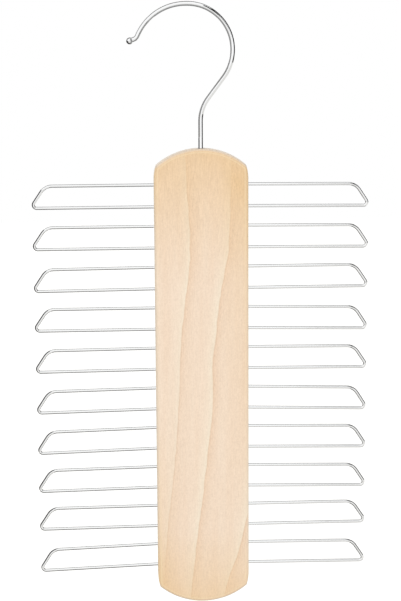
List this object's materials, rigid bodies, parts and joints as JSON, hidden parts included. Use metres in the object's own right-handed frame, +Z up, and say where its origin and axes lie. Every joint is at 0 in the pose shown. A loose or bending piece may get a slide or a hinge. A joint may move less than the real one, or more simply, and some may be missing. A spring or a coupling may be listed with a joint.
{
  "type": "tie hanger",
  "caption": "Wooden tie hanger: a flat board with rows of bent wire arms on both edges, hung from a swivelling wire hook.",
  "frame": {"origin": "the point inside the top of the hook that rests on the rail", "axes": "+Z up, +X to the right along the arms, as seen from the front, and -Y out of the board's front face"},
  "size_m": [0.215, 0.012, 0.3922],
  "materials": {
    "wood": "pale hardwood, clear satin lacquer",
    "hook_chrome": "bright chrome",
    "arm_chrome": "bright chrome",
    "sleeve_steel": "plain steel"
  },
  "bodies": {
    "hook": {"hook": "hook_chrome"},
    "hanger": {"board": "wood", "hook_sleeve": "sleeve_steel", "left_arm_1": "arm_chrome", "left_arm_2": "arm_chrome", "left_arm_3": "arm_chrome", "left_arm_4": "arm_chrome", "left_arm_5": "arm_chrome", "left_arm_6": "arm_chrome", "left_arm_7": "arm_chrome", "left_arm_8": "arm_chrome", "left_arm_9": "arm_chrome", "left_arm_10": "arm_chrome", "right_arm_1": "arm_chrome", "right_arm_2": "arm_chrome", "right_arm_3": "arm_chrome", "right_arm_4": "arm_chrome", "right_arm_5": "arm_chrome", "right_arm_6": "arm_chrome", "right_arm_7": "arm_chrome", "right_arm_8": "arm_chrome", "right_arm_9": "arm_chrome", "right_arm_10": "arm_chrome"}
  },
  "joints": [
    {"name": "hook_swivel", "type": "hinge", "parent": "hook", "child": "hanger", "pos_m": [0.0085, 0, -0.08877], "axis": [0, 0, 1], "continuous": true}
  ]
}
